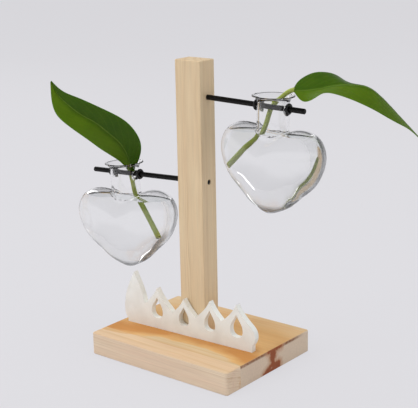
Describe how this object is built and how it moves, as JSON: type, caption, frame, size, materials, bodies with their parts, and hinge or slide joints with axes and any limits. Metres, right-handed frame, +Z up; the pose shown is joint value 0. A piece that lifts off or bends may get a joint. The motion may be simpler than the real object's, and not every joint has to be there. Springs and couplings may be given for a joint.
{
  "type": "propagation vase",
  "caption": "Heart-shaped glass bottles hanging on thin rods from a wooden post and base, for rooting plant cuttings in water.",
  "frame": {"origin": "centre of the base's underside, on the surface it stands on", "axes": "+X along the base towards the higher bottle, +Y to the back, +Z up the post"},
  "size_m": [0.3053, 0.1368, 0.2578],
  "materials": {
    "pale_wood": "sanded softwood, unfinished",
    "heartwood": "sanded heartwood with thin oil",
    "white_paint": "matt white paint on cut wood",
    "black_rod": "black satin coat on a thin rod",
    "ring_rubber": "black rubber",
    "screw_steel": "bright zinc",
    "clear_glass": "clear blown glass",
    "green_stem": "smooth green stem",
    "green_leaf": "waxy green leaf"
  },
  "bodies": {
    "stand": {"base_front_stave": "pale_wood", "base_rear_board": "heartwood", "post": "pale_wood", "post_screw": "screw_steel", "ornament": "white_paint", "upper_rod": "black_rod", "lower_rod": "black_rod"},
    "upper_inner_stop": {"upper_inner_ring": "ring_rubber"},
    "upper_outer_stop": {"upper_outer_ring": "ring_rubber"},
    "upper_vessel": {"upper_bottle": "clear_glass", "upper_stem": "green_stem", "upper_leaf": "green_leaf"},
    "lower_inner_stop": {"lower_inner_ring": "ring_rubber"},
    "lower_outer_stop": {"lower_outer_ring": "ring_rubber"},
    "lower_vessel": {"lower_bottle": "clear_glass", "lower_stem": "green_stem", "lower_leaf": "green_leaf"}
  },
  "joints": [
    {"name": "upper_inner_ring_slide", "type": "slide", "parent": "stand", "child": "upper_inner_stop", "axis": [-0.9996, 0, 0.0279], "range_m": [-0.0012, 0.0485]},
    {"name": "upper_outer_ring_slide", "type": "slide", "parent": "stand", "child": "upper_outer_stop", "axis": [0.9996, 0, -0.0279], "range_m": [0, 0.0135]},
    {"name": "upper_bottle_swing", "type": "hinge", "parent": "upper_outer_stop", "child": "upper_vessel", "pos_m": [0.07917, 0, 0.22556], "axis": [0.9996, 0, -0.0279], "range_deg": [-45, 45]},
    {"name": "lower_inner_ring_slide", "type": "slide", "parent": "stand", "child": "lower_inner_stop", "axis": [0.9989, 0, 0.0471], "range_m": [-0.0036, 0.05]},
    {"name": "lower_outer_ring_slide", "type": "slide", "parent": "stand", "child": "lower_outer_stop", "axis": [-0.9989, 0, -0.0471], "range_m": [0, 0.0205]},
    {"name": "lower_bottle_swing", "type": "hinge", "parent": "lower_outer_stop", "child": "lower_vessel", "pos_m": [-0.08312, 0, 0.15121], "axis": [-0.9989, 0, -0.0471], "range_deg": [-45, 45]}
  ]
}
